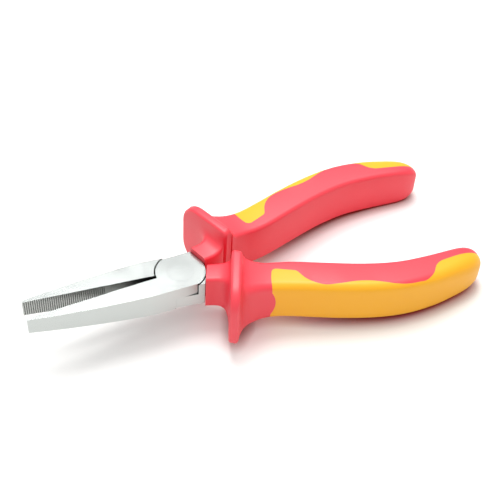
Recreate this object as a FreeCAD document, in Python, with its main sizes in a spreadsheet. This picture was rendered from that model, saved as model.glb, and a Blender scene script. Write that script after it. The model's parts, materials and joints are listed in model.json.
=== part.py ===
import FreeCAD, Part
import math, os
import Sketcher

# Insulated flat-nose pliers, 160 mm class, lap joint.  Millimetres.
# Tool frame used while building: pivot axis = Z through the origin, lap plane z = 0,
# jaw tips towards -X, handles towards +X, closed jaws meeting on y = 0.
# "lower" is the half whose joint disc is underneath; its jaw is on +Y and its handle on -Y.
# The finished pieces are placed with the jaws a few degrees open, lying on a table:
# the two finger guards and the two handle ends carry the tool, so the nose points slightly up.

V = FreeCAD.Vector
doc = FreeCAD.newDocument("flat_nose_pliers")
sheet = doc.addObject("Spreadsheet::Sheet", "dims")

SIZES = [
    # joint and jaws
    ("disc_radius", 8.7), ("flank_inset", 0.9), ("joint_thick", 9.5), ("pivot_to_tip", 54.6),
    ("tip_thick", 6.3), ("tip_width", 1.0), ("jaw_mid_width", 4.9), ("jaw_root_inset", 1.1),
    ("jaw_root_gap", 3.8), ("face_relief", 0.05), ("root_overlap", 0.7),
    ("tooth_pitch", 0.7), ("tooth_width", 0.46), ("tooth_depth", 0.24), ("tooth_zone", 27.3),
    # fits
    ("pocket_gap", 0.3), ("lap_gap", 0.05), ("rivet_gap", 0.06), ("shoulder_gap", 0.15),
    # rivet
    ("rivet_radius", 3.4), ("rivet_head_rim", 1.2), ("rivet_head_depth", 1.2),
    # tang inside the grip, and the hidden insulation round it
    ("tang_half_width", 2.2), ("tang_neck_half_width", 2.2), ("tang_step", 1.45), ("tang_root", 1.2),
    ("tang_corner_share", 0.3), ("tang_end_taper", 0.85), ("tang_share", 0.82),
    ("liner_wall", 0.8), ("liner_share", 0.86),
    # grip: neck in front of the guard
    ("neck_gap", 0.8), ("neck_length", 9.9), ("neck_inner", 0.4), ("neck_outer_inset", 0.1),
    ("neck_step", 2.05), ("neck_corner", 1.3), ("neck_swell", 2.2), ("neck_tilt", 18.0),
    # grip: guard rim
    ("rim_width", 3.3), ("rim_inner", 1.5), ("rim_outer", 26.3), ("rim_half_height", 14.2),
    ("rim_corner_in", 3.6), ("rim_corner_out", 8.0), ("rim_tilt", 20.0),
    # grip: handle behind the guard, and the second colour let into it
    ("grip_length", 83.3), ("grip_bow", 22.9), ("grip_half_width", 6.7), ("grip_half_height", 8.5),
    ("grip_corner_in", 1.6), ("grip_corner_out", 2.9),
    ("inlay_depth", 1.5), ("inlay_setback", 4.4), ("inlay_notch", 1.7), ("inlay_notch_half", 5.6),
    # pose
    ("half_opening", 3.8),
]
for row, (alias, value) in enumerate(SIZES, start=1):
    sheet.set("A%d" % row, alias)
    sheet.set("B%d" % row, str(value))
    sheet.setAlias("B%d" % row, alias)
doc.recompute()


def number(expr):
    """The present value of an expression written with dims.NAME terms."""
    result = sheet.evalExpression(expr.replace("dims.", "").replace("<<dims>>.", ""))
    return float(result.Value) if hasattr(result, "Value") else float(result)


def body(name):
    return doc.addObject("PartDesign::Body", name)


def origin(bd, role):
    """One of a body's own origin planes or axes."""
    return next(f for f in bd.Origin.OriginFeatures if f.Role == role)


def sketch_on(bd, name, plane, offset=None, tilt=None):
    """Sketch on an origin plane of its own body, with an optional offset and turn."""
    sk = bd.newObject("Sketcher::SketchObject", name)
    sk.AttachmentSupport = (origin(bd, plane + "_Plane"), [""])
    sk.MapMode = "FlatFace"
    if tilt is not None:
        sk.AttachmentOffset = FreeCAD.Placement(V(0, 0, 0), FreeCAD.Rotation(V(0, 1, 0), 1.0))
        sk.setExpression("AttachmentOffset.Rotation.Angle", tilt)
    if offset is not None:
        sk.setExpression("AttachmentOffset.Base.z", offset)
    return sk


def hold(sk, geo, end, tag, x, y):
    """Tie one end of a piece of sketch geometry to a place given by two expressions."""
    for axis, text in (("X", x), ("Y", y)):
        c = sk.addConstraint(Sketcher.Constraint("Distance" + axis, -1, 1, geo, end, number(text)))
        sk.renameConstraint(c, tag + axis)
        sk.setExpression("Constraints.%s%s" % (tag, axis), text)


def outline(sk, points, arcs=None):
    """Closed outline.  points: (x, y) expressions; arcs: {segment: (x, y) that the arc passes through}."""
    arcs = arcs or {}
    place = lambda xy: V(number(xy[0]), number(xy[1]), 0)
    count = len(points)
    ends = []
    for i in range(count):
        a, b = place(points[i]), place(points[(i + 1) % count])
        if i not in arcs:
            sk.addGeometry(Part.LineSegment(a, b), False)
            ends.append((1, 2))
            continue
        # a sketch keeps its arcs anticlockwise, so one that turns the other way is drawn from its end
        through = place(arcs[i])
        if (through - a).cross(b - through).z > 0:
            sk.addGeometry(Part.Arc(a, through, b), False)
            ends.append((1, 2))
        else:
            sk.addGeometry(Part.Arc(b, through, a), False)
            ends.append((2, 1))
    for i in range(count):
        j = (i + 1) % count
        sk.addConstraint(Sketcher.Constraint("Coincident", i, ends[i][1], j, ends[j][0]))
        hold(sk, i, ends[i][0], "point%d" % i, *points[i])
    for i, through in arcs.items():
        mark = sk.addGeometry(Part.Point(place(through)), True)
        hold(sk, mark, 1, "through%d" % i, *through)
        sk.addConstraint(Sketcher.Constraint("PointOnObject", mark, 1, i))


def circle(sk, radius):
    sk.addGeometry(Part.Circle(V(0, 0, 0), V(0, 0, 1), number(radius)), False)
    sk.addConstraint(Sketcher.Constraint("Coincident", 0, 3, -1, 1))
    c = sk.addConstraint(Sketcher.Constraint("Radius", 0, number(radius)))
    sk.renameConstraint(c, "radius")
    sk.setExpression("Constraints.radius", radius)


def section(bd, name, side, station):
    """Rounded section.  station: x, tilt, inner, outer, half height, radius of the inner and outer corners."""
    x, tilt, inner, outer, half, round_in, round_out = station
    sk = sketch_on(bd, name, "YZ", x, "%d * (%s)" % (side, tilt))
    # on the -Y side the sketch's low edge is the grip's outer one
    (lo_text, lo_round), (hi_text, hi_round) = (inner, round_in), (outer, round_out)
    if side < 0:
        (lo_text, lo_round), (hi_text, hi_round) = ("-(%s)" % outer, round_out), ("-(%s)" % inner, round_in)
    lo, hi, hh = number(lo_text), number(hi_text), number(half)
    rl, rh = number(lo_round), number(hi_round)
    corners = [(lo, -hh, rl), (hi, -hh, rh), (hi, hh, rh), (lo, hh, rl)]
    for i in range(4):
        (ax, ay, ar), (bx, by, br) = corners[i], corners[(i + 1) % 4]
        ux, uy = (bx > ax) - (bx < ax), (by > ay) - (by < ay)
        start, stop = V(ax + ux * ar, ay + uy * ar, 0), V(bx - ux * br, by - uy * br, 0)
        sk.addGeometry(Part.LineSegment(start, stop), False)
    centres = [(hi - rh, -hh + rh, rh, -90), (hi - rh, hh - rh, rh, 0),
               (lo + rl, hh - rl, rl, 90), (lo + rl, -hh + rl, rl, 180)]
    for cx, cy, r, start in centres:
        circle = Part.Circle(V(cx, cy, 0), V(0, 0, 1), r)
        sk.addGeometry(Part.ArcOfCircle(circle, math.radians(start), math.radians(start + 90)), False)
    add = lambda *args: sk.addConstraint(Sketcher.Constraint(*args))
    for i in range(4):
        add("Tangent", i, 2, 4 + i, 1)
        add("Tangent", 4 + i, 2, (i + 1) % 4, 1)
    for kind, geo in (("Horizontal", 0), ("Vertical", 1), ("Horizontal", 2), ("Vertical", 3)):
        add(kind, geo)
    add("Equal", 4, 5)
    add("Equal", 6, 7)
    named = [("corner_b", add("Radius", 4, rh), hi_round), ("corner_a", add("Radius", 6, rl), lo_round),
             ("edge_low", add("DistanceY", -1, 1, 0, 1, -hh), "-(%s)" % half),
             ("edge_top", add("DistanceY", -1, 1, 2, 1, hh), half),
             ("edge_a", add("DistanceX", -1, 1, 3, 1, lo), lo_text),
             ("edge_b", add("DistanceX", -1, 1, 1, 1, hi), hi_text)]
    for tag, index, text in named:
        sk.renameConstraint(index, tag)
        sk.setExpression("Constraints." + tag, text)
    return sk


def loft(bd, name, sketches, ruled=False):
    feature = bd.newObject("PartDesign::AdditiveLoft", name)
    feature.Profile = sketches[0]
    feature.Sections = sketches[1:]
    feature.Ruled = ruled
    return feature


def pad(bd, name, sk, length, symmetric=False):
    feature = bd.newObject("PartDesign::Pad", name)
    feature.Profile = sk
    feature.setExpression("Length", length)
    feature.Midplane = symmetric
    return feature


def pocket(bd, name, sk, length=None, symmetric=False, reverse=False):
    feature = bd.newObject("PartDesign::Pocket", name)
    feature.Profile = sk
    if length:
        feature.setExpression("Length", length)
    else:
        feature.Type = 1
    feature.Midplane = symmetric
    feature.Reversed = reverse
    return feature


def boolean(kind, name, base, tool):
    feature = doc.addObject("Part::" + kind, name)
    feature.Base = base
    feature.Tool = tool
    return feature


# ---------------------------------------------------------------- steel

FLANK = "(dims.disc_radius - dims.flank_inset)"
JAW_ROOT_X = "(dims.disc_radius + dims.jaw_root_gap)"
NECK_X = "(dims.disc_radius + dims.neck_gap)"
SHOULDER_X = "(%s - dims.shoulder_gap)" % NECK_X
RIVET_HEAD_RADIUS = "(dims.rivet_radius + dims.rivet_head_rim)"
SPARE = "1"     # how far a cutting outline runs past what it cuts


def head(name, bore):
    """One jaw with its half-thickness joint disc and tang root; jaw on +Y, tang root on -Y."""
    bd = body(name)
    # plan outline: tip, gripping face, disc edge, near flank, shoulder under the grip, disc edge, far flank
    face = "dims.face_relief"
    disc_in = "-sqrt(dims.disc_radius ^ 2 - %s ^ 2)" % face
    flank_x = "sqrt(dims.disc_radius ^ 2 - %s ^ 2)" % FLANK
    slope = "tan(dims.neck_tilt)"
    # where the shoulder line x = SHOULDER_X - |y| * slope meets the near flank and the disc circle
    corner_x = "(%s - %s * %s)" % (SHOULDER_X, FLANK, slope)
    root_x = "sqrt(dims.disc_radius ^ 2 - dims.root_overlap ^ 2)"
    points = [
        ("-dims.pivot_to_tip", face),
        (disc_in, face),
        ("-" + flank_x, "-" + FLANK),
        (corner_x, "-" + FLANK),
        ("%s - dims.root_overlap * %s" % (SHOULDER_X, slope), "-dims.root_overlap"),
        (root_x, "-dims.root_overlap"),
        (flank_x, FLANK),
        ("-" + JAW_ROOT_X, "dims.disc_radius - dims.jaw_root_inset"),
        ("-dims.pivot_to_tip", "dims.tip_width"),
    ]
    arcs = {
        1: ("dims.disc_radius * cos(225)", "dims.disc_radius * sin(225)"),
        5: ("dims.disc_radius * cos(30)", "dims.disc_radius * sin(30)"),
        7: ("-(dims.pivot_to_tip + %s) / 2" % JAW_ROOT_X, "dims.jaw_mid_width"),
    }
    sk = sketch_on(bd, name + "_plan", "XY")
    outline(sk, points, arcs)
    pad(bd, name + "_blank", sk, "dims.joint_thick", symmetric=True)
    doc.recompute()

    # wedges that thin the jaw towards its tip, above and below
    for tag, up in (("top", 1), ("bottom", -1)):
        sk = sketch_on(bd, "%s_taper_%s" % (name, tag), "XZ")
        fall = "(dims.joint_thick - dims.tip_thick) / 2 / (dims.pivot_to_tip - %s)" % JAW_ROOT_X
        beyond = "-(dims.pivot_to_tip + %s)" % SPARE
        outline(sk, [("-" + JAW_ROOT_X, "%d * dims.joint_thick / 2" % up),
                     (beyond, "%d * (dims.joint_thick / 2 + %s)" % (up, SPARE)),
                     (beyond, "%d * (dims.tip_thick / 2 - %s * %s)" % (up, SPARE, fall))])
        pocket(bd, "%s_thin_%s" % (name, tag), sk, "4 * dims.disc_radius", symmetric=True)
    doc.recompute()

    # fine cross teeth on the front half of the gripping face
    half, foot = "dims.tooth_width / 2", "%s - dims.tooth_depth" % face
    first = "-(dims.pivot_to_tip - dims.tooth_pitch)"
    sk = sketch_on(bd, name + "_tooth", "XY")
    outline(sk, [("%s - %s" % (first, half), foot), ("%s + %s" % (first, half), foot),
                 ("%s + %s" % (first, half), face), (first, "%s + dims.tooth_depth" % face),
                 ("%s - %s" % (first, half), face)])
    tooth = pocket(bd, name + "_tooth_cut", sk, "2 * dims.joint_thick", symmetric=True)
    doc.recompute()
    bd.Tip = tooth
    row = bd.newObject("PartDesign::LinearPattern", name + "_teeth")
    row.Originals = [tooth]
    row.Direction = (origin(bd, "X_Axis"), [""])
    row.setExpression("Length", "dims.tooth_zone")
    row.setExpression("Occurrences", "floor(dims.tooth_zone / dims.tooth_pitch)")
    bd.Tip = row
    doc.recompute()

    # room for the other half's disc above the lap plane
    sk = sketch_on(bd, name + "_pocket_round", "XY", "-dims.lap_gap / 2")
    circle(sk, "dims.disc_radius + dims.pocket_gap")
    pocket(bd, name + "_pocket", sk, "dims.joint_thick", reverse=True)

    # rivet hole with a countersink in the outer face
    sk = sketch_on(bd, name + "_bore_half", "XZ")
    wide, thin = "(%s + %s)" % (RIVET_HEAD_RADIUS, bore), "(dims.rivet_radius + %s)" % bore
    low = "-dims.joint_thick / 2"
    under = "%s - %s" % (low, SPARE)
    outline(sk, [("0", SPARE), ("0", under), (wide, under), (wide, low),
                 (thin, "%s + dims.rivet_head_depth" % low), (thin, SPARE)])
    groove = bd.newObject("PartDesign::Groove", name + "_bore")
    groove.Profile = sk
    groove.ReferenceAxis = (sk, ["V_Axis"])
    groove.Angle = 360
    doc.recompute()
    return bd


def rivet():
    """Turned rivet, staked into both countersinks and ground flush; fast in the lower half."""
    bd = body("rivet_blank")
    sk = sketch_on(bd, "rivet_half", "XZ")
    top, neck = "dims.joint_thick / 2", "(dims.joint_thick / 2 - dims.rivet_head_depth)"
    outline(sk, [("0", "-" + top), (RIVET_HEAD_RADIUS, "-" + top), ("dims.rivet_radius", "-" + neck),
                 ("dims.rivet_radius", neck), (RIVET_HEAD_RADIUS, top), ("0", top)])
    turned = bd.newObject("PartDesign::Revolution", "rivet_turned")
    turned.Profile = sk
    turned.ReferenceAxis = (sk, ["V_Axis"])
    turned.Angle = 360
    doc.recompute()
    return bd


# ---------------------------------------------------------------- grip

RIM_X = "(%s + dims.neck_length)" % NECK_X
RIM_BACK = "(%s + dims.rim_width)" % RIM_X
NECK_OUTER = "(dims.disc_radius - dims.neck_outer_inset)"
NECK_HALF_HEIGHT = "(dims.joint_thick / 2 + dims.neck_step)"


def along(share):
    """x of a section plane a given share of the way from the guard to the end of the grip."""
    return "%s + %s * dims.grip_length" % (RIM_BACK, share)


# share of the grip's length, tilt share, centre / bow, half width share, half height share
GRIP = [
    (0.052, 0.70, 0.520, 0.955, 1.010),
    (0.106, 0.46, 0.550, 0.945, 0.975),
    (0.184, 0.20, 0.618, 0.985, 0.985),
    (0.328, 0.00, 0.779, 0.990, 1.000),
    (0.472, 0.00, 0.917, 0.951, 1.000),
    (0.616, 0.00, 0.993, 0.910, 1.000),
    (0.760, 0.00, 0.969, 0.873, 0.990),
    (0.880, 0.00, 0.895, 0.806, 0.950),
    (0.946, 0.00, 0.852, 0.700, 0.850),
    (0.986, 0.00, 0.830, 0.480, 0.610),
    (1.000, 0.00, 0.825, 0.255, 0.330),
]
CORNER_LIMIT = 0.75     # largest corner radius, as a share of a section's smaller half size
# (share, fade) of the sections between neck and rim, and (shift, fade) of those between rim and handle
FLARE = [(0, 0), (0.34, 0.0), (0.62, 0.12), (0.82, 0.34), (0.94, 0.64), (1, 1)]
REAR = [(0.12, 0.42), (0.40, 0.78)]


def grip_station(entry, shrink="0"):
    share, tilt, centre, wide, high = entry
    lean = "%s * dims.rim_tilt" % tilt
    mid = "%s * dims.grip_bow / cos(%s)" % (centre, lean)
    half_w = "(%s * dims.grip_half_width - %s)" % (wide, shrink)
    half_h = "(%s * dims.grip_half_height - %s)" % (high, shrink)
    corners = ["min(dims.grip_corner_%s; %s * min(%s; %s))" % (edge, CORNER_LIMIT, half_w, half_h)
               for edge in ("in", "out")]
    # the plane is tilted about the line y = 0, so its x there is moved back by the lean
    x = "%s + %s * dims.grip_bow * tan(%s)" % (along(share), centre, lean)
    return (x, lean, "%s - %s" % (mid, half_w), "%s + %s" % (mid, half_w), half_h, *corners)


def blend(share, a, b):
    """A value the given share of the way from a to b."""
    return "(%s + %s * (%s - (%s)))" % (a, share, b, a)


def flare(share, fade):
    """Front flare between the neck and the guard rim; fade 0 = neck, 1 = rim."""
    return (blend(share, NECK_X, RIM_X), blend(share, "dims.neck_tilt", "dims.rim_tilt"),
            blend(share, "dims.neck_inner", "dims.rim_inner"),
            blend(fade, "(%s + %s * dims.neck_swell)" % (NECK_OUTER, share), "dims.rim_outer"),
            blend(fade, NECK_HALF_HEIGHT, "dims.rim_half_height"),
            blend(fade, "dims.neck_corner", "dims.rim_corner_in"),
            blend(fade, "dims.neck_corner", "dims.rim_corner_out"))


def rear(shift, fade):
    """Behind the rim: the guard falls away to the first grip section."""
    x0, t0, in0, out0, hh0, round_in, round_out = grip_station(GRIP[0])
    return (blend(shift, RIM_BACK, x0), blend(shift, "dims.rim_tilt", t0),
            blend(shift, "dims.rim_inner", in0), blend(fade, "dims.rim_outer", out0),
            blend(fade, "dims.rim_half_height", hh0),
            blend(fade, "dims.rim_corner_in", round_in), blend(fade, "dims.rim_corner_out", round_out))


def grip_solid(name, side):
    """Whole outside of one grip: neck, guard and handle."""
    bd = body(name)
    front = [section(bd, "%s_f%d" % (name, i), side, flare(*step)) for i, step in enumerate(FLARE)]
    rim = section(bd, name + "_rim_back", side, rear(0, 0))
    back = [section(bd, "%s_r%d" % (name, i), side, rear(*step)) for i, step in enumerate(REAR)]
    rest = [section(bd, "%s_g%d" % (name, i), side, grip_station(e)) for i, e in enumerate(GRIP)]
    doc.recompute()
    loft(bd, name + "_front", front)
    doc.recompute()
    loft(bd, name + "_rim", [front[-1], rim], ruled=True)
    doc.recompute()
    loft(bd, name + "_back", [rim] + back + rest)
    doc.recompute()
    return bd


# tang centre / bow under the guard rim and at the tang's end, how far the tang runs straight into the
# neck, and how far its centre has moved outwards by then
TANG_RIM_CENTRE, TANG_END_CENTRE = 0.355, 0.920
TANG_STRAIGHT, TANG_DRIFT = 3, 0.7


def tang_path(share_end, wall, start_x):
    """Sections of the steel tang (or, with a wall, of the insulation round it)."""
    high = "(dims.joint_thick / 2 - dims.tang_step + %s)" % wall
    wide, slim = "(dims.tang_half_width + %s)" % wall, "(dims.tang_neck_half_width + %s)" % wall
    neck_mid = "((dims.neck_inner + %s) / 2)" % NECK_OUTER
    rows = [(start_x, "dims.neck_tilt", neck_mid, slim, high),
            ("(%s + %s)" % (NECK_X, TANG_STRAIGHT), "dims.neck_tilt",
             "(%s + %s)" % (neck_mid, TANG_DRIFT), slim, high),
            ("(%s + dims.rim_width / 2)" % RIM_X, "0.9 * dims.rim_tilt",
             "%s * dims.grip_bow" % TANG_RIM_CENTRE, wide, high)]
    for share, tilt, centre, _, _ in (GRIP[1], GRIP[3], GRIP[5]):
        lean = "%s * dims.rim_tilt" % tilt
        x = "%s + %s * dims.grip_bow * tan(%s)" % (along(share), centre, lean)
        rows.append((x, lean, "%s * dims.grip_bow / cos(%s)" % (centre, lean), wide, high))
    rows.append((along(share_end), "0", "%s * dims.grip_bow" % TANG_END_CENTRE,
                 "dims.tang_end_taper * " + wide, "dims.tang_end_taper * " + high))
    corner = "dims.tang_corner_share * "
    return [(x, lean, "%s - %s" % (mid, w), "%s + %s" % (mid, w), h, corner + h, corner + h)
            for x, lean, mid, w, h in rows]


def tang_solid(name, side, share_end, wall, start_x):
    """Tang of one half, lofted along its grip."""
    bd = body(name)
    rows = [section(bd, "%s_%d" % (name, i), side, row)
            for i, row in enumerate(tang_path(share_end, wall, start_x))]
    doc.recompute()
    loft(bd, name + "_loft", rows)
    doc.recompute()
    return bd


def inlay_core(name, side):
    """The grip less the depth of the inlay: what lies behind the second colour."""
    bd = body(name)
    rows = [section(bd, "%s_%d" % (name, i), side, grip_station(e, "dims.inlay_depth"))
            for i, e in enumerate(GRIP[:-2])]
    doc.recompute()
    loft(bd, name + "_loft", rows)
    doc.recompute()
    return bd


# Corners of the inlay's edge seen from above, from the front lobe to the end lobe: share of the grip's
# length, distance out as a share of the bow.  Second list: what the arc from each corner passes through.
INLAY_CORNERS = [(0.088, 0.440), (0.182, 0.552), (0.298, 0.965), (0.437, 1.000), (0.570, 1.188),
                 (0.685, 1.201), (0.769, 0.943), (0.939, 0.803), (1.020, 0.790)]
INLAY_ARCS = [None, (0.212, 0.786), None, (0.511, 1.087), (0.634, 1.231), (0.736, 1.100), (0.834, 0.869),
              None]
# where the front edge leaves the outer side, what its rounded corner passes through, and well outside
INLAY_FRONT_OUT, INLAY_FRONT_ARC, CLEAR_OUT = 0.70, (0.066, 0.550), 2


def inlay_prism(name, side):
    """Upright block through the whole grip whose inner side follows the edge of the second colour."""
    bd = body(name)
    sk = sketch_on(bd, name + "_plan", "XY")
    place = lambda share, out: (along(share), "%d * %s * dims.grip_bow" % (side, out))
    front_x = "%s + dims.inlay_setback" % RIM_BACK
    points = [(front_x, place(0, CLEAR_OUT)[1]), (front_x, place(0, INLAY_FRONT_OUT)[1])]
    points += [place(*corner) for corner in INLAY_CORNERS]
    points.append(place(INLAY_CORNERS[-1][0], CLEAR_OUT))
    arcs = {1: place(*INLAY_FRONT_ARC)}
    arcs.update({2 + i: place(*through) for i, through in enumerate(INLAY_ARCS) if through})
    outline(sk, points, arcs)
    pad(bd, name + "_block", sk, "3 * dims.grip_half_height", symmetric=True)
    doc.recompute()
    # a tongue of the sleeve reaches back into the front edge on the outer side
    sk = sketch_on(bd, name + "_side", "XZ")
    before = "%s - %s" % (front_x, SPARE)
    outline(sk, [(before, "-dims.inlay_notch_half"), (front_x, "-dims.inlay_notch_half"),
                 (front_x, "dims.inlay_notch_half"), (before, "dims.inlay_notch_half")],
            {1: ("%s + dims.inlay_notch" % front_x, "0")})
    pocket(bd, name + "_notch", sk, "%s * 4 * dims.grip_bow" % CLEAR_OUT, symmetric=True)
    doc.recompute()
    return bd


# ---------------------------------------------------------------- pieces

def half_pieces(which):
    """Steel half, hidden insulation, sleeve and inlay of one side, still closed and level."""
    side = -1 if which == "lower" else 1
    bore = "0" if which == "lower" else "dims.rivet_gap"
    n = lambda what: "%s_%s_work" % (which, what)
    # both steel halves are made as the lower one; the upper one is turned over when it is placed
    steel_head = head(n("head"), bore)
    inside = "(%s - dims.tang_root)" % SHOULDER_X
    tang_steel = tang_solid(n("tang_steel"), -1, "dims.tang_share", "0", inside)
    # the other half's disc must swing past the tang root, so the joined blank gets the same round pocket
    room = doc.addObject("Part::Cylinder", n("room"))
    room.setExpression("Radius", "dims.disc_radius + dims.pocket_gap")
    room.setExpression("Height", "dims.joint_thick")
    room.setExpression("Placement.Base.z", "-dims.lap_gap / 2")
    hole = doc.addObject("Part::Cylinder", n("hole"))
    hole.setExpression("Radius", RIVET_HEAD_RADIUS)
    hole.setExpression("Height", "2 * dims.joint_thick")
    hole.setExpression("Placement.Base.z", "-dims.joint_thick")
    tang_clear = boolean("Cut", n("tang_clear"), boolean("Cut", n("tang_bored"), tang_steel, hole), room)
    steel = boolean("Fuse", which + "_half_steel", steel_head, tang_clear)
    steel.Refine = True

    outside = grip_solid(n("grip"), side)
    tang_bare = tang_solid(n("tang"), side, "dims.tang_share", "0", inside)
    lined = tang_solid(n("lined"), side, "dims.liner_share", "dims.liner_wall", NECK_X)
    liner = boolean("Cut", which + "_liner_wall", lined, tang_bare)
    core = inlay_core(n("core"), side)
    prism = inlay_prism(n("prism"), side)
    skin = boolean("Cut", n("skin"), outside, core)
    zone = boolean("Common", n("zone"), skin, prism)
    inlay = boolean("Common", which + "_inlay_pad", skin, prism)
    hollow = boolean("Cut", n("hollow"), outside, lined)
    sleeve = boolean("Cut", which + "_sleeve_wall", hollow, zone)
    doc.recompute()
    return {"half": steel, "liner": liner, "sleeve": sleeve, "inlay": inlay}


def resting_pitch(solids):
    """Nose-up angle at which the guards and the grip ends touch the table together."""
    points = []
    for shape, turn in solids:
        spun = FreeCAD.Rotation(V(0, 0, 1), turn)
        points += [spun.multVec(p) for p in shape.tessellate(0.1)[0]]
    middle = number(along(0.5))
    low, high = 0.0, 15.0
    for _ in range(30):
        pitch = math.radians(0.5 * (low + high))
        drop = lambda p: p.z * math.cos(pitch) - p.x * math.sin(pitch)
        front = min(drop(p) for p in points if p.x < middle)
        rear_end = min(drop(p) for p in points if p.x >= middle)
        if front < rear_end:
            low = math.degrees(pitch)
        else:
            high = math.degrees(pitch)
    return 0.5 * (low + high)


lower, upper = half_pieces("lower"), half_pieces("upper")
pin = rivet()
pin_final = doc.addObject("Part::Refine", "pivot_rivet_turned")
pin_final.Source = pin
doc.recompute()

opening = number("dims.half_opening")
pitch = resting_pitch([(lower["sleeve"].Shape, -opening), (upper["sleeve"].Shape, opening)])
turn_lower = FreeCAD.Rotation(V(0, 0, 1), -opening)
turn_upper = FreeCAD.Rotation(V(0, 0, 1), opening)
flip = FreeCAD.Rotation(V(1, 0, 0), 180)
tilt_up = FreeCAD.Rotation(V(0, 1, 0), pitch)

pieces = {}
for which, turn, parts in (("lower", turn_lower, lower), ("upper", turn_upper, upper)):
    for what, feature in parts.items():
        own = turn.multiply(flip) if (which == "upper" and what == "half") else turn
        pieces["%s_%s" % (which, what)] = (feature, tilt_up.multiply(own))
pieces["pivot_rivet"] = (pin_final, tilt_up.multiply(turn_lower))

for name, (feature, rotation) in pieces.items():
    feature.Label = name
    feature.Placement = FreeCAD.Placement(V(0, 0, 0), rotation)
doc.recompute()
box = FreeCAD.BoundBox()
for feature, _ in pieces.values():
    box.add(feature.Shape.optimalBoundingBox(False, False))
shift = V(-box.Center.x, -box.Center.y, -box.ZMin)
for name, (feature, rotation) in pieces.items():
    feature.Placement = FreeCAD.Placement(shift, rotation)
doc.recompute()

faults = [o.Label for o in doc.Objects if "Invalid" in o.State or "Error" in o.State]
for name, (feature, _) in pieces.items():
    shape = feature.Shape
    if shape.isNull() or not shape.isValid() or len(shape.Solids) != 1:
        faults.append("%s: %d solids" % (name, 0 if shape.isNull() else len(shape.Solids)))
if faults:
    raise SystemExit("faulty: " + ", ".join(faults))

os.makedirs("parts", exist_ok=True)
for name, (feature, _) in pieces.items():
    feature.Shape.exportStep("parts/%s.step" % name)
    print("%-14s volume %8.1f mm3" % (name, feature.Shape.Volume))
axis = tilt_up.multVec(V(0, 0, 1))
print("pitch %.4f deg  pivot at (%.4f, %.4f, %.4f)  axis (%.6f, %.6f, %.6f)"
      % (pitch, shift.x, shift.y, shift.z, axis.x, axis.y, axis.z))
print("overall %.2f x %.2f x %.2f mm" % (box.XLength, box.YLength, box.ZLength))
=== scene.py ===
# %% [markdown]
# Insulated flat-nose pliers, lying partly open on a white table.
#
# This lesson starts from an engineering model of the tool: nine solids on two bodies that turn about
# one rivet.  The steel keeps its measured shape.  The two grips are modelled again here, because
# moulded plastic shows rounded rims and fine joints that the engineering solids leave out.

# %% Load the tool and find its hinge
import bpy
import json
import math
from mathutils import Matrix, Vector

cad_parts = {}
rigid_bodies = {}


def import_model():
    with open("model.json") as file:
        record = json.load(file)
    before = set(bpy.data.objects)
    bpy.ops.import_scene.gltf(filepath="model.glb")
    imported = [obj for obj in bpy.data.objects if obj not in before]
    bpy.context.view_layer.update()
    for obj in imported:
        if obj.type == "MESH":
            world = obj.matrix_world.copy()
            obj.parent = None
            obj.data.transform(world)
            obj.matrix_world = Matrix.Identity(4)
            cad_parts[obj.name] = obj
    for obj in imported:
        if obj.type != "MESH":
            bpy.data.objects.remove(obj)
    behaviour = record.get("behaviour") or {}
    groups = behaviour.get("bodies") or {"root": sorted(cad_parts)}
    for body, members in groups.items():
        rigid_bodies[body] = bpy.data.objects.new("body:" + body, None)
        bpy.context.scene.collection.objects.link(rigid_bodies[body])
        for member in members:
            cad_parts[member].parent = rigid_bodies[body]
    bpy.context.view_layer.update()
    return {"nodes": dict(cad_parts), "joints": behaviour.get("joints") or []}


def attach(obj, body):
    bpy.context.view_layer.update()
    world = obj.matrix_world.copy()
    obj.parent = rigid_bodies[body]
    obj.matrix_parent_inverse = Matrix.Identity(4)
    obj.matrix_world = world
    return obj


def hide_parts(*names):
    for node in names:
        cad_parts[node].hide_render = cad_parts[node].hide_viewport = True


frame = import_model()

hinge = frame["joints"][0]
pivot = Vector(hinge["pos_m"])
hinge_axis = Vector(hinge["axis"])
nose_up = math.atan2(hinge_axis.x, hinge_axis.z)
half_open = math.radians(-hinge["range_deg"][0] / 2)
MM = 0.001
print("hinge at", [round(v / MM, 2) for v in pivot], "mm")
print("nose up", round(math.degrees(nose_up), 2), "degrees, half open", round(math.degrees(half_open), 2))

# %% [markdown]
# Everything below is modelled in the tool's own directions, with the hinge at the origin, the nose
# along -X and the handles along +X.  One matrix then carries a finished piece to its place on the
# table: the tool leans nose up, because it rests on its finger guards and its handle ends.

# %% From the tool's own directions to its place on the table
TOOL = Matrix.Translation(pivot) @ Matrix.Rotation(nose_up, 4, "Y")
HALF_PLACE = {"lower": TOOL @ Matrix.Rotation(-half_open, 4, "Z"),
              "upper": TOOL @ Matrix.Rotation(half_open, 4, "Z")}
print("the tool's X axis on the table:", [round(v, 3) for v in TOOL.to_3x3().col[0]])

# %% [markdown]
# The camera looks down on the tool from the front left, a little over 44 degrees above it, with a
# fairly long lens, so that the long jaws don't stretch towards the viewer.  It circles a point between
# the handles, level with the joint: a turn about the hinge's direction, a tip down, a small roll, and
# a step back.

# %% Camera
AIM = Vector((28.62, 7.00, 0)) * MM
TURN, DOWN, ROLL = math.radians(-23.316), math.radians(44.127), math.radians(3.812)
STEP_BACK = 367.42 * MM
camera_data = bpy.data.cameras.new("camera")
camera_data.sensor_width = 36
camera_data.lens = 73.1
camera = bpy.data.objects.new("camera", camera_data)
bpy.context.scene.collection.objects.link(camera)
camera.matrix_world = (TOOL @ Matrix.Translation(AIM) @ Matrix.Rotation(TURN, 4, "Z")
                       @ Matrix.Rotation(math.pi / 2 - DOWN, 4, "X") @ Matrix.Rotation(ROLL, 4, "Z")
                       @ Matrix.Translation((0, 0, STEP_BACK)))
bpy.context.scene.camera = camera
bpy.context.scene.view_settings.view_transform = "Standard"
print("camera at", [round(v / MM) for v in camera.matrix_world.translation], "mm")

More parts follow.
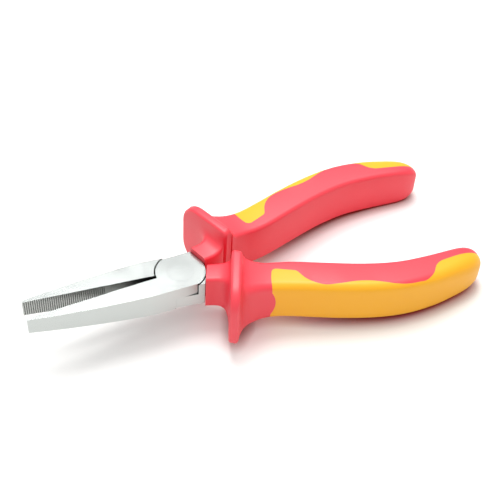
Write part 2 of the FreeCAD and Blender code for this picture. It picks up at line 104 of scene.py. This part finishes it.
# %% [markdown]
# Materials are node trees.  Two small helpers keep them readable: one turns an sRGB hex value, as a
# paint chart gives it, into the linear numbers that the shader works with, and one adds a node with
# its settings and its links in a single call.

# %% Colour and node helpers
def linear(code):
    """Linear RGBA of an sRGB hex value such as "E8404C"."""
    channels = [int(code[i:i + 2], 16) / 255 for i in (0, 2, 4)]
    return [c / 12.92 if c <= 0.04045 else ((c + 0.055) / 1.055) ** 2.4 for c in channels] + [1.0]


def add(tree, kind, links=None, **settings):
    """Add a node.  links: {input: (node, output)}; settings: inputs by name, or node properties."""
    node = tree.nodes.new("ShaderNode" + kind)
    for key, value in settings.items():
        name = key.replace("_", " ")
        if name in node.inputs:
            node.inputs[name].default_value = value
        else:
            setattr(node, key, value)
    for name, (source, output) in (links or {}).items():
        tree.links.new(source.outputs[output], node.inputs[name])
    return node


def new_material(name):
    """An empty node material, its tree and its output node."""
    material = bpy.data.materials.new(name)
    material.use_nodes = True
    tree = material.node_tree
    tree.nodes.clear()
    return material, tree, add(tree, "OutputMaterial")


print("middle grey 808080 is", round(linear("808080")[0], 3), "in linear light")

# %% [markdown]
# The table is a plain white sheet of matt paper.  Where the tool nearly touches it, an Ambient
# Occlusion node paints a dark red shadow on the paper: painted shade, tinted like the light that goes
# to and fro between red plastic and paper in that narrow gap.

# %% Table and its paper
TABLE_WIDTH = 3
GAP_REACH = 6 * MM
GAP_SHADOW_RED, PAPER_WHITE = "A02818", "EDEDEB"
bpy.ops.object.select_all(action="DESELECT")
bpy.ops.mesh.primitive_plane_add(size=TABLE_WIDTH, location=(0, 0, 0))
table = bpy.context.object
table.name = "table"
table_paper, tree, output = new_material("matte_white_paper")
# painted shadow: close to the tool the paper's colour turns dark red
open_air = add(tree, "AmbientOcclusion", Distance=GAP_REACH, samples=16)
clear = add(tree, "MapRange", {"Value": (open_air, "AO")}, From_Min=0.25, From_Max=0.85)
sheet = add(tree, "Mix", {"Factor": (clear, "Result")}, data_type="RGBA")
sheet.inputs[6].default_value = linear(GAP_SHADOW_RED)
sheet.inputs[7].default_value = linear(PAPER_WHITE)
paper = add(tree, "BsdfDiffuse", {"Color": (sheet, 2)})
print("table", TABLE_WIDTH, "m wide, gap shade within", round(GAP_REACH / MM), "mm")

# %% [markdown]
# A white that is lit only by the lamps would need so much light that the tool would burn out.  So the
# sheet shows the camera, and every reflection, a little light of its own: more of it far away from the
# tool than close to it, and none in the gap under the tool, where the shadow has to stay.

# %% The table's own light
spot = add(tree, "TexCoord")
from_tool = add(tree, "VectorMath", {0: (spot, "Object")}, operation="LENGTH")
fade = add(tree, "MapRange", {"Value": (from_tool, "Value")}, From_Min=0.12, From_Max=0.80,
           To_Min=0.10, To_Max=0.50)
lit = add(tree, "Math", {0: (fade, "Result"), 1: (clear, "Result")}, operation="MULTIPLY")
glow = add(tree, "Emission", {"Strength": (lit, 0)}, Color=linear("FFFFFF"))
seen = add(tree, "LightPath")
either = add(tree, "Math", {0: (seen, "Is Camera Ray"), 1: (seen, "Is Glossy Ray")}, operation="MAXIMUM")
nothing = add(tree, "Emission", Strength=0.0)
lift = add(tree, "MixShader", {0: (either, 0), 1: (nothing, 0), 2: (glow, 0)})
both = add(tree, "AddShader", {0: (paper, 0), 1: (lift, 0)})
tree.links.new(both.outputs[0], output.inputs["Surface"])
table.data.materials.append(table_paper)
print("nodes in the table's material:", len(tree.nodes))

# %% [markdown]
# The light is that of a small product table.  The world is a white tent.  To the camera and in every
# reflection it is an even white.  On matt surfaces it shines from overhead and fades to nothing at the
# horizon, so that upper faces are paler than sides and the tool gets a shadow all round.

# %% White tent
world = bpy.data.worlds.new("white_tent")
bpy.context.scene.world = world
world.use_nodes = True
tree = world.node_tree
tree.nodes.clear()
seen = add(tree, "LightPath")
direct = add(tree, "Math", {0: (seen, "Is Camera Ray"), 1: (seen, "Is Glossy Ray")}, operation="MAXIMUM")
shown = add(tree, "Math", {0: (direct, 0), 1: (seen, "Is Transmission Ray")}, operation="MAXIMUM")
way = add(tree, "TexCoord")
height = add(tree, "SeparateXYZ", {"Vector": (way, "Object")})
ceiling = add(tree, "MapRange", {"Value": (height, "Z")}, From_Min=0.0, From_Max=0.8, To_Max=1.20)
dim = add(tree, "Background", {"Strength": (ceiling, "Result")}, Color=linear("FFFFFF"))
bright = add(tree, "Background", Color=linear("FFFFFF"), Strength=1.0)
tent = add(tree, "MixShader", {0: (shown, 0), 1: (dim, 0), 2: (bright, 0)})
add(tree, "OutputWorld", {"Surface": (tent, 0)})
print("nodes in the tent:", len(tree.nodes))

# %% [markdown]
# One square soft lamp hangs over the far side of the tool.  Its broad reflection makes the upper faces
# of the plastic milky.  A much weaker one at the front left opens the shadows on the near sides.

# %% Soft lamps
def soft_lamp(name, place, width, watts):
    """A square lamp that faces the tool."""
    lamp = bpy.data.lights.new(name, "AREA")
    lamp.shape, lamp.size, lamp.energy = "SQUARE", width, watts
    holder = bpy.data.objects.new(name, lamp)
    holder.location = place
    holder.rotation_euler = (-Vector(place)).to_track_quat("-Z", "Y").to_euler()
    bpy.context.scene.collection.objects.link(holder)
    print(name, watts, "W,", round(Vector(place).length, 2), "m away")


soft_lamp("back_lamp", (0.08, 0.21, 0.58), 0.30, 2.7)
soft_lamp("front_lamp", (-0.35, -0.50, 0.35), 0.40, 0.1)

# %% [markdown]
# Real surfaces are never even.  Stretched noise is the base of every finish here: with grains that are
# long one way and short the other it gives grinding marks, and with round grains it gives the grain of
# a mould.  Object coordinates keep the pattern fixed to the piece when it moves.

# %% Stretched noise
def stretched_noise(tree, along, across, detail=2.0):
    """Noise whose grains are along mm long in X and across mm wide in Y and Z."""
    place = add(tree, "TexCoord")
    size = (1 / (along * MM), 1 / (across * MM), 1 / (across * MM))
    mapping = add(tree, "Mapping", {"Vector": (place, "Object")}, Scale=size)
    return add(tree, "TexNoise", {"Vector": (mapping, 0)}, Scale=1.0, Detail=detail, Roughness=0.5)


def with_number(tree, source, output, operation, value):
    """A Math node: the number that comes from source, and value; a comparison gives 1 or 0."""
    node = add(tree, "Math", {0: (source, output)}, operation=operation)
    node.inputs[1].default_value = value
    return node


def also(tree, first, second):
    """1 where both comparisons give 1."""
    return add(tree, "Math", {0: (first, 0), 1: (second, 0)}, operation="MULTIPLY")


SCRATCH_APART = 0.3
print("scratches", SCRATCH_APART, "mm apart:", round(1 / (SCRATCH_APART * MM)), "grains to the metre")

# %% [markdown]
# Two places on a steel half are painted darker than the rest.  The serrated gripping face is ground but
# not polished, and its darker grey is partly that finish and partly painted shade from the jaws' dark
# insides that it reflects.  Along the joint a thin line of painted shadow shows where the other half's
# disc runs in its recess.  Both places are found by measuring in the half's own directions, which a
# Mapping node of type TEXTURE gives: it undoes the half's place on the table.

# %% Where the steel is duller and where it gets painted shade
FACE_DEPTH = 0.7 * MM      # the teeth lie this close to the middle plane
JAW_ROOT = -8.6 * MM       # the gripping face begins here, next to the disc
RECESS_LINE = 9.22 * MM    # the recess and its painted line of shadow end at this radius
SKIN_HEIGHT = 4.5 * MM     # only the outermost quarter millimetre of the half is marked
UPRIGHT = 0.7              # below this share of the hinge's direction a face counts as upright


def painted_shade_masks(tree, place, side):
    """Masks of the gripping face, whose darker grey is partly painted shade, and of the joint's painted
    shadow line.

    side is +1 where the half's recess is on top, -1 where it is underneath, 0 where there is none.
    """
    spot = add(tree, "TexCoord")
    own = add(tree, "Mapping", {"Vector": (spot, "Object")}, vector_type="TEXTURE",
              Location=place.to_translation(), Rotation=place.to_euler())
    parts = add(tree, "SeparateXYZ", {"Vector": (own, 0)})
    off = add(tree, "Math", {0: (parts, "Y")}, operation="ABSOLUTE")
    strip = also(tree, with_number(tree, off, 0, "LESS_THAN", FACE_DEPTH),
                 with_number(tree, parts, "X", "LESS_THAN", JAW_ROOT))
    turned = add(tree, "NewGeometry")
    upward = add(tree, "VectorMath", {0: (turned, "True Normal")}, operation="DOT_PRODUCT")
    upward.inputs[1].default_value = hinge_axis
    tilt = add(tree, "Math", {0: (upward, "Value")}, operation="ABSOLUTE")
    # the gripping face; its darker grey is partly painted shade
    face = also(tree, strip, with_number(tree, tilt, 0, "LESS_THAN", UPRIGHT))
    level = add(tree, "CombineXYZ", {"X": (parts, "X"), "Y": (parts, "Y")})
    radius = add(tree, "VectorMath", {0: (level, 0)}, operation="LENGTH")
    above = with_number(tree, parts, "Z", "MULTIPLY", side)
    # a thin line of painted shadow along the joint's recess
    rim = also(tree, with_number(tree, radius, "Value", "LESS_THAN", RECESS_LINE),
               with_number(tree, above, 0, "GREATER_THAN", SKIN_HEIGHT))
    return face, rim


print("gripping face from", JAW_ROOT / MM, "mm on, joint line at", RECESS_LINE / MM, "mm")

# %% [markdown]
# Chrome vanadium steel, ground flat, then satin chromed.  Grinding leaves fine parallel scratches
# across the faces; the thin chrome over them keeps a soft, even shine.  The scratches are about 0.3 mm
# apart, which is coarser than the real ones, so that they show at all.  An Ambient Occlusion node
# paints shade into the narrow places: it darkens their colour towards a near black.

# %% Satin chromed steel
# painted shade: a darker grey on the gripping face, partly its finish, and a near black in narrow places
# and along the joint
DULL_AND_SHADED_GREY, PAINTED_SHADE = "B4B6B4", "2A2826"
SHADE_REACH = 3.0 * MM


def satin_steel(name, place, side, colour, low, high):
    """Ground steel with roughness between low and high, a darker grey on its gripping face that is partly
    painted shade, and painted shade in narrow places and along the joint.
    """
    material, tree, output = new_material(name)
    scratches = stretched_noise(tree, SCRATCH_APART, 6.0)
    clouds = stretched_noise(tree, 9.0, 9.0)
    tone = add(tree, "MapRange", {"Value": (clouds, "Fac")}, From_Min=0.3, From_Max=0.7,
               To_Min=low, To_Max=high)
    bump = add(tree, "Bump", {"Height": (scratches, "Fac")}, Strength=0.10, Distance=0.02 * MM)
    face, rim = painted_shade_masks(tree, place, side)
    # the gripping face's darker grey: partly its finish, partly painted shade
    ground = add(tree, "Mix", {"Factor": (face, 0)}, data_type="RGBA")
    ground.inputs[6].default_value = linear(colour)
    ground.inputs[7].default_value = linear(DULL_AND_SHADED_GREY)
    # painted shade: Ambient Occlusion darkens the steel's colour in narrow places, and the joint's
    # painted shadow line darkens it fully
    open_air = add(tree, "AmbientOcclusion", Distance=SHADE_REACH, samples=16)
    shine = add(tree, "MapRange", {"Value": (open_air, "AO")}, From_Min=0.0, From_Max=0.80)
    unshaded_share = add(tree, "Math", {0: (shine, "Result"), 1: (rim, 0)}, operation="SUBTRACT", use_clamp=True)
    skin = add(tree, "Mix", {"Factor": (unshaded_share, 0), 7: (ground, 2)}, data_type="RGBA")
    skin.inputs[6].default_value = linear(PAINTED_SHADE)
    steel = add(tree, "BsdfPrincipled", {"Base Color": (skin, 2), "Roughness": (tone, "Result"),
                "Normal": (bump, 0)}, Metallic=1.0)
    tree.links.new(steel.outputs[0], output.inputs["Surface"])
    print(name, len(tree.nodes), "nodes")
    return material


def repaint(node, material):
    """Give a kept piece one new material all over."""
    slots = frame["nodes"][node].data.materials
    slots.clear()
    slots.append(material)

# %% [markdown]
# Each half gets its own steel, because each has its own directions.  The two are the same bright, soft
# grey, and to the eye they are one metal.  The rivet is ground flush and chromed together with them, so
# it is hardly visible.

# %% Steel on the halves and the rivet
BRIGHT = ("BCC0BE", 0.21, 0.27)     # colour, lowest and highest roughness
for half, side in (("lower", 1), ("upper", -1)):
    repaint(half + "_half", satin_steel(half + "_satin_chromed_steel", HALF_PLACE[half], side, *BRIGHT))
repaint("pivot_rivet", satin_steel("ground_rivet_steel", TOOL, 0, *BRIGHT))

# %% [markdown]
# Both grips are moulded in two colours of soft insulating plastic.  Its face is satin, with the very
# fine grain of a spark-eroded mould: the grain is a third of a millimetre wide and only hundredths
# high, so it can't be seen as bumps, but it breaks up the shine.  The colour drifts slowly along the
# piece, as a thick moulding's does where it cooled at different speeds.

# %% Moulded insulating plastic
def moulded(name, colour, deep, grain_mm, rough, shine):
    """Satin moulded plastic; deep is the colour in the low spots of its slow colour drift."""
    material, tree, output = new_material(name)
    grain = stretched_noise(tree, grain_mm, grain_mm, 3.0)
    drift = stretched_noise(tree, 14.0, 14.0)
    tint = add(tree, "Mix", {"Factor": (drift, "Fac")}, data_type="RGBA")
    tint.inputs[6].default_value = linear(deep)
    tint.inputs[7].default_value = linear(colour)
    tone = add(tree, "MapRange", {"Value": (grain, "Fac")}, From_Min=0.3, From_Max=0.7,
               To_Min=rough - 0.04, To_Max=rough + 0.04)
    bump = add(tree, "Bump", {"Height": (grain, "Fac")}, Strength=0.12, Distance=0.03 * MM)
    plastic = add(tree, "BsdfPrincipled", {"Base Color": (tint, 2), "Roughness": (tone, "Result"),
                  "Normal": (bump, 0)}, IOR=1.5, Specular_IOR_Level=shine)
    tree.links.new(plastic.outputs[0], output.inputs["Surface"])
    print(name, len(tree.nodes), "nodes")
    return material

# %% [markdown]
# The red is the warning colour of live-line tools: strong and a little towards pink, with a milky shine
# on faces that look up.  The yellow of the inlay is softer plastic with less shine, lemon in the light
# and amber in the shade.  The inner layer round the tang is a dull orange.  It lies inside the grip, and
# a worn-through grip would show it as a warning.

# %% The grips' three colours
red_plastic = moulded("red_moulded_insulation", "EE223A", "EA1E36", 0.35, 0.50, 1.0)
yellow_plastic = moulded("yellow_moulded_inlay", "FAB204", "F6AC02", 0.40, 0.44, 0.55)
inner_plastic = moulded("inner_insulation_layer", "F0A030", "E89828", 0.40, 0.50, 0.5)
for half in ("lower", "upper"):
    repaint(half + "_liner", inner_plastic)

# %% [markdown]
# A grip can't be extruded from one outline: a square neck grows into a finger guard, and the guard
# falls away to a long bowed handle.  A mould maker draws such a shape as a row of sections, and so
# does this lesson.  A section is an upright rectangle with rounded corners, and on most of the grip the
# corners of the palm side are the rounder ones.  Near the guard the sections lean towards the nose.

# %% Key sections, in mm from the hinge
# x, lean in degrees, nearest and farthest distance from the middle plane, half height on the inside,
# rounding of the corners inside and outside, height outside as a share of the height inside
NECK = [(9.50, 18.0, 0.40, 8.60, 6.80, 1.3, 1.3, 1.0), (12.6, 18.0, 0.80, 9.20, 6.80, 1.3, 1.3, 1.0),
        (15.0, 17.8, 1.30, 10.2, 7.10, 1.3, 1.7, 1.0), (16.8, 17.5, 1.90, 12.1, 7.90, 1.4, 2.4, 1.0),
        (17.7, 17.3, 2.40, 15.2, 9.10, 1.5, 3.8, 0.98), (18.1, 17.2, 2.70, 18.6, 10.6, 1.6, 5.8, 0.96)]
RIM = [(18.2, 17.2, 2.70, 26.2, 14.3, 2.0, 7.2, 0.88), (22.0, 17.2, 3.60, 27.0, 14.3, 2.0, 7.2, 0.88)]
HANDLE = [(22.2, 17.1, 3.70, 24.6, 12.5, 1.9, 6.2, 0.90), (23.1, 16.8, 4.10, 22.1, 10.9, 1.8, 4.8, 0.94),
          (24.9, 16.0, 4.80, 20.1, 9.70, 1.7, 3.7, 0.98), (29.4, 13.5, 6.00, 18.7, 8.60, 1.6, 2.9, 1.0),
          (33.6, 9.20, 6.45, 19.1, 8.30, 1.6, 2.9, 1.0), (39.0, 4.00, 7.60, 20.8, 8.35, 1.6, 2.9, 1.0),
          (50.0, 0.0, 11.2, 24.5, 8.50, 1.6, 2.9, 1.0), (62.0, 0.0, 14.6, 27.4, 8.50, 1.6, 2.9, 1.0),
          (74.0, 0.0, 16.6, 28.8, 8.50, 1.6, 3.0, 1.0), (86.0, 0.0, 16.3, 28.0, 8.40, 1.6, 3.6, 1.0),
          (96.0, 0.0, 15.1, 25.9, 8.10, 1.8, 4.6, 1.0), (100.0, 0.0, 14.6, 24.7, 7.6, 2.0, 4.6, 1.0),
          (102.8, 0.0, 14.8, 23.4, 6.7, 2.0, 4.2, 1.0), (104.7, 0.0, 15.5, 21.9, 5.4, 1.8, 3.2, 1.0),
          (105.7, 0.0, 16.6, 20.5, 3.9, 1.4, 2.0, 1.0), (106.0, 0.0, 17.7, 19.5, 2.4, 0.8, 0.8, 1.0)]
back_to_tool = HALF_PLACE["lower"].inverted()
grip_end = max((back_to_tool @ v.co).x for v in frame["nodes"]["lower_sleeve"].data.vertices)
print("drawn grip ends at", HANDLE[-1][0], "mm, the engineering grip at", round(grip_end / MM, 2), "mm")

# %% [markdown]
# The sections between the key ones lie on a smooth curve, a cubic that passes through every key value
# with the slope of its neighbours.  It comes close to the curve of a thin batten bent round pegs.

# %% Sections between the key ones
def between(rows, steps):
    """More sections between the key ones, on a smooth curve through them."""
    full = []
    for i in range(len(rows) - 1):
        before, a, b, after = rows[max(i - 1, 0)], rows[i], rows[i + 1], rows[min(i + 2, len(rows) - 1)]
        span = b[0] - a[0]
        for k in range(steps):
            t = k / steps
            row = []
            for p, q, r, s in zip(before, a, b, after):
                into = (r - p) / (b[0] - before[0]) * span
                outof = (s - q) / (after[0] - a[0]) * span
                row.append((2 * t ** 3 - 3 * t ** 2 + 1) * q + (t ** 3 - 2 * t ** 2 + t) * into
                           + (3 * t ** 2 - 2 * t ** 3) * r + (t ** 3 - t ** 2) * outof)
            full.append(tuple(row))
    return full + [rows[-1]]


print("one more between 0 and 1:", between([(0.0, 0.0), (1.0, 1.0)], 2)[1])

# %% [markdown]
# The guard's rim is a flat band about 4 mm thick with two soft outer edges.  A bevel would also round
# the fold at the foot of the band, so the edges are drawn with sections instead: they follow a quarter
# circle down to the front face and another one down to the back.

# %% Rounded rim of the guard
RIM_EDGE = 1.1
QUARTER = (0, 22, 45, 67, 90)


def rounded_rim(front, back, edge):
    """Sections of the rim's band; its two outer edges are rounded along quarter circles."""
    rows = []
    for row, sign, angles in ((front, 1, QUARTER), (back, -1, QUARTER[::-1])):
        for angle in (math.radians(degrees) for degrees in angles):
            x, lean, near, far, half, round_in, round_out, share = row
            cut = edge * (1 - math.sin(angle))
            rows.append((x + sign * edge * (1 - math.cos(angle)), lean, near + cut / 2, far - cut,
                         half - cut, round_in, round_out, share))
    return rows


STEPS = 3
outer_rows = between(NECK, STEPS) + rounded_rim(*RIM, RIM_EDGE) + between(HANDLE, STEPS)
print("sections from neck to end:", len(outer_rows))

# %% [markdown]
# Bevels change which vertex has which number, so a vertex is picked by its place and never by its
# number.  A thousandth of a millimetre is near enough to be the same place.

# %% Pick vertices by place
import bmesh

SAME_PLACE = 0.001 * MM


def pick_points(places):
    """Select only the vertices of the mesh in edit mode that lie at these places."""
    bpy.ops.mesh.select_all(action="DESELECT")
    mesh = bmesh.from_edit_mesh(bpy.context.object.data)
    for v in mesh.verts:
        v.select = any((v.co - place).length < SAME_PLACE for place in places)
    bmesh.update_edit_mesh(bpy.context.object.data)


print("places count as the same within", round(SAME_PLACE / MM, 4), "mm")

# %% [markdown]
# Each section starts as a plane that stands in its place, turned by its lean.  The pair of corners on
# the palm side is drawn in a little where the guard tapers.  Two vertex bevels then round the corners:
# one for the inside pair and one for the palm side pair.

# %% Draw one section
INSIDE_STEPS, PALM_STEPS = 4, 6


def draw_section(row):
    """Add one rounded section of the lower grip to the mesh in edit mode."""
    x, lean, near, far, half, round_in, round_out, outer_share = row
    angle = math.radians(lean)
    out = Vector((-math.sin(angle), -math.cos(angle), 0))
    middle = (Vector((x, 0, 0)) + out * (near + far) / 2) * MM
    bpy.ops.mesh.primitive_plane_add(size=2 * MM, location=middle, rotation=(math.pi / 2, 0, math.pi / 2))
    bpy.ops.transform.resize(value=(1, (far - near) / 2, half), center_override=middle)
    bpy.ops.transform.rotate(value=angle, orient_axis="Z", center_override=middle)
    mesh = bmesh.from_edit_mesh(bpy.context.object.data)
    pick_points([v.co.copy() for v in mesh.verts if v.select and (v.co - middle).dot(out) > 0])
    bpy.ops.transform.resize(value=(1, 1, outer_share), center_override=middle)
    bpy.ops.mesh.select_linked()
    corners = [v.co.copy() for v in bmesh.from_edit_mesh(bpy.context.object.data).verts if v.select]
    for side, radius, steps in ((-1, round_in, INSIDE_STEPS), (1, round_out, PALM_STEPS)):
        pick_points([corner for corner in corners if (corner - middle).dot(out) * side > 0])
        bpy.ops.mesh.bevel(offset=radius * MM, segments=steps, affect="VERTICES")


print("a drawn section has", 2 * (INSIDE_STEPS + 1) + 2 * (PALM_STEPS + 1), "vertices")

# %% [markdown]
# A solid is a row of sections joined up.  Their faces go and the rings of edges stay; one bridge joins
# ring to ring, and two faces close the ends.  The same steps serve for every solid in a grip.

# %% Join the sections to a solid
def loft(name, rows):
    """A closed solid through the sections of rows, in the tool's own directions."""
    bpy.ops.object.select_all(action="DESELECT")
    bpy.ops.mesh.primitive_plane_add(size=MM)
    piece = bpy.context.object
    piece.name = piece.data.name = name
    bpy.ops.object.mode_set(mode="EDIT")
    bpy.ops.mesh.delete(type="VERT")
    for row in rows:
        draw_section(row)
    bpy.ops.mesh.select_all(action="SELECT")
    bpy.ops.mesh.delete(type="ONLY_FACE")
    bpy.ops.mesh.select_all(action="SELECT")
    bpy.ops.mesh.bridge_edge_loops()
    bpy.ops.mesh.select_all(action="SELECT")
    bpy.ops.mesh.fill_holes(sides=0)
    bpy.ops.mesh.select_all(action="SELECT")
    bpy.ops.mesh.normals_make_consistent(inside=False)
    bpy.ops.object.mode_set(mode="OBJECT")
    print(name, len(piece.data.vertices), "vertices,", len(piece.data.polygons), "faces")
    return piece


outside = loft("grip_outside", outer_rows)

# %% [markdown]
# Three more solids are needed to part the grip.  The core is the handle made smaller all round by the
# depth of the yellow inlay.  The lined tang is the room for the steel tang and its hidden insulation.
# It begins in the same plane as the neck, and such a cut leaves a skin without thickness over most of
# the opening; a cutter does better if it reaches a little past the face that it opens.

# %% Core and lined tang
INLAY_DEPTH = 1.5
CORE_ROUND = 0.7           # the core's corners are this much tighter than the handle's
core_rows = [(x, lean, near + INLAY_DEPTH, far - INLAY_DEPTH, half - INLAY_DEPTH,
              round_in * CORE_ROUND, round_out * CORE_ROUND, 1.0)
             for x, lean, near, far, half, round_in, round_out, _ in HANDLE[3:-4]]
core = loft("grip_core", between(core_rows, STEPS))
# x, lean, middle, half width, half height of the steel with its insulation
TANG = [(9.50, 18.0, 4.5, 3.0, 4.1), (12.5, 18.0, 5.2, 3.0, 4.1), (21.1, 18.0, 8.1, 3.0, 4.1),
        (33.6, 9.2, 12.8, 3.0, 4.1), (50.0, 0.0, 17.8, 3.0, 4.1), (74.0, 0.0, 22.7, 3.0, 4.1),
        (94.3, 0.0, 21.1, 2.6, 3.5)]
TANG_ROUND = 1.2
tang_rows = [(x, lean, middle - wide, middle + wide, high, TANG_ROUND, TANG_ROUND, 1.0)
             for x, lean, middle, wide, high in TANG]
lined_tang = loft("lined_tang", between(tang_rows, STEPS))

# %% [markdown]
# The third solid is an upright block that covers what becomes yellow.  Its wavy outline is drawn by
# extruding one vertex from corner to corner, and a vertex bevel rounds each corner, which gives the
# waves without a drawn curve.

# %% Outline of the yellow inlay seen from above
# x and distance from the middle plane of each corner, in mm, with the round at that corner
INLAY = [(27.5, 45.0, 0), (27.5, 16.2, 3.0), (29.9, 9.6, 1.9), (37.9, 12.7, 0.8), (41.3, 20.8, 5.5),
         (50.0, 22.3, 3.0), (59.1, 22.8, 4.0), (71.5, 27.9, 4.0), (82.8, 27.6, 3.5), (87.2, 20.9, 2.5),
         (97.5, 18.9, 3.0), (109.0, 18.0, 0), (109.0, 45.0, 0)]
CUTTER_HALF_HEIGHT = 12
CORNER_STEPS = 8
bpy.ops.object.select_all(action="DESELECT")
bpy.ops.mesh.primitive_plane_add(size=MM)
cutter = bpy.context.object
cutter.name = "inlay_cutter"
bpy.ops.object.mode_set(mode="EDIT")
bpy.ops.mesh.merge(type="CENTER")
corners = [Vector((x, -out, -CUTTER_HALF_HEIGHT)) * MM for x, out, _ in INLAY]
bpy.ops.transform.translate(value=corners[0])
for start, stop in zip(corners, corners[1:]):
    bpy.ops.mesh.extrude_vertices_move(TRANSFORM_OT_translate={"value": stop - start})
bpy.ops.mesh.select_all(action="SELECT")
bpy.ops.mesh.edge_face_add()
for corner, (_, _, radius) in zip(corners, INLAY):
    if radius:
        pick_points([corner])
        bpy.ops.mesh.bevel(offset=radius * MM, segments=CORNER_STEPS, affect="VERTICES")
bpy.ops.mesh.select_all(action="SELECT")
bpy.ops.mesh.extrude_region_move(TRANSFORM_OT_translate={"value": (0, 0, 2 * CUTTER_HALF_HEIGHT * MM)})
bpy.ops.mesh.select_all(action="SELECT")
bpy.ops.mesh.normals_make_consistent(inside=False)
bpy.ops.object.mode_set(mode="OBJECT")
print("cutter corners:", len(cutter.data.vertices) // 2)

# %% [markdown]
# A boolean modifier keeps or removes what a second solid covers, and modifier_apply makes the result
# part of the mesh.  The exact solver is slower but keeps thin pieces closed.

# %% Boolean helper
def carve(piece, tool, operation, copy_name=None):
    """Combine piece with tool; with a copy_name, on a copy of piece."""
    bpy.ops.object.select_all(action="DESELECT")
    piece.select_set(True)
    bpy.context.view_layer.objects.active = piece
    if copy_name:
        bpy.ops.object.duplicate(linked=False)
        piece = bpy.context.object
        piece.name = piece.data.name = copy_name
    step = piece.modifiers.new("carve", "BOOLEAN")
    step.operation, step.solver, step.object = operation, "EXACT", tool
    bpy.ops.object.modifier_apply(modifier=step.name)
    return piece


def discard(*pieces):
    """Remove solids that have done their work."""
    for piece in pieces:
        bpy.data.objects.remove(piece, do_unlink=True)


print("solids to carve with:", core.name, lined_tang.name, cutter.name)

# %% [markdown]
# On the palm side a round tongue of the red sleeve reaches back into the yellow, so the cutter first
# loses a bite there; a cylinder across the handle gives its round.  Without the core, the cutter is a
# shell that only covers the outer skin.  It then parts the grip: what it covers becomes the inlay, and
# the rest stays the sleeve.

# %% Part the grip into sleeve and inlay
TONGUE_ROUND, TONGUE_REACH = 10.1, 29.0
TONGUE_SIDES, TONGUE_LENGTH = 128, 100
bpy.ops.object.select_all(action="DESELECT")
bpy.ops.mesh.primitive_cylinder_add(vertices=TONGUE_SIDES, radius=TONGUE_ROUND * MM,
                                    depth=TONGUE_LENGTH * MM,
                                    location=((TONGUE_REACH - TONGUE_ROUND) * MM, 0, 0),
                                    rotation=(math.pi / 2, 0, 0))
tongue = bpy.context.object
carve(cutter, tongue, "DIFFERENCE")
carve(cutter, core, "DIFFERENCE")
inlay = carve(outside, cutter, "INTERSECT", "lower_inlay_moulding")
sleeve = carve(outside, cutter, "DIFFERENCE", "lower_sleeve_moulding")
carve(sleeve, lined_tang, "DIFFERENCE")
discard(tongue, core, cutter, lined_tang, outside)
for piece in (sleeve, inlay):
    print(piece.name, len(piece.data.vertices), "vertices,", len(piece.data.polygons), "faces")

# %% [markdown]
# Both grips are alike, and the upper one is a mirrored copy of the lower one.  Mirroring turns a shape
# inside out, so its normals are worked out again.

# %% The second grip
def mirrored(piece, name):
    """A copy of a lower grip's piece for the upper grip."""
    bpy.ops.object.select_all(action="DESELECT")
    piece.select_set(True)
    bpy.context.view_layer.objects.active = piece
    bpy.ops.object.duplicate(linked=False)
    copy = bpy.context.object
    copy.name = copy.data.name = name
    bpy.ops.transform.mirror(constraint_axis=(False, True, False))
    bpy.ops.object.transform_apply(location=True, rotation=True, scale=True)
    bpy.ops.object.mode_set(mode="EDIT")
    bpy.ops.mesh.select_all(action="SELECT")
    bpy.ops.mesh.normals_make_consistent(inside=False)
    bpy.ops.object.mode_set(mode="OBJECT")
    return copy


upper_sleeve = mirrored(sleeve, "upper_sleeve_moulding")
upper_inlay = mirrored(inlay, "upper_inlay_moulding")
print("mirrored:", upper_sleeve.name, upper_inlay.name)

# %% [markdown]
# Each piece is now carried to its place on the table and its transform applied, so that its object sits
# at the origin like the steel's.  Faces that meet at less than 35 degrees are shaded as one soft
# surface; the crisp ends of the neck and the joint between the colours stay sharp.

# %% Both grips in place
SOFT_ANGLE = math.radians(35)


def settle(piece, half, stands_for, material):
    """Carry a finished piece of a half to its place; give it its material and body."""
    bpy.ops.object.select_all(action="DESELECT")
    piece.select_set(True)
    bpy.context.view_layer.objects.active = piece
    piece.matrix_world = HALF_PLACE[half]
    bpy.ops.object.transform_apply(location=True, rotation=True, scale=True)
    bpy.ops.object.shade_smooth_by_angle(angle=SOFT_ANGLE)
    piece.data.materials.clear()
    piece.data.materials.append(material)
    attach(piece, half + "_half_body")
    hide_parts(stands_for)


pairs = [(sleeve, upper_sleeve, "sleeve", red_plastic, "red_insulation"),
         (inlay, upper_inlay, "inlay", yellow_plastic, "yellow_inlay")]
for lower_piece, upper_piece, what, material, slot in pairs:
    for half, piece in (("lower", lower_piece), ("upper", upper_piece)):
        settle(piece, half, "%s_%s" % (half, what), material)
        mesh = bmesh.new()
        mesh.from_mesh(piece.data)
        loose = sum(len(edge.link_faces) != 2 for edge in mesh.edges)
        print(piece.name, "volume", round(mesh.calc_volume() * 1e9), "mm3, open edges", loose)
        mesh.free()
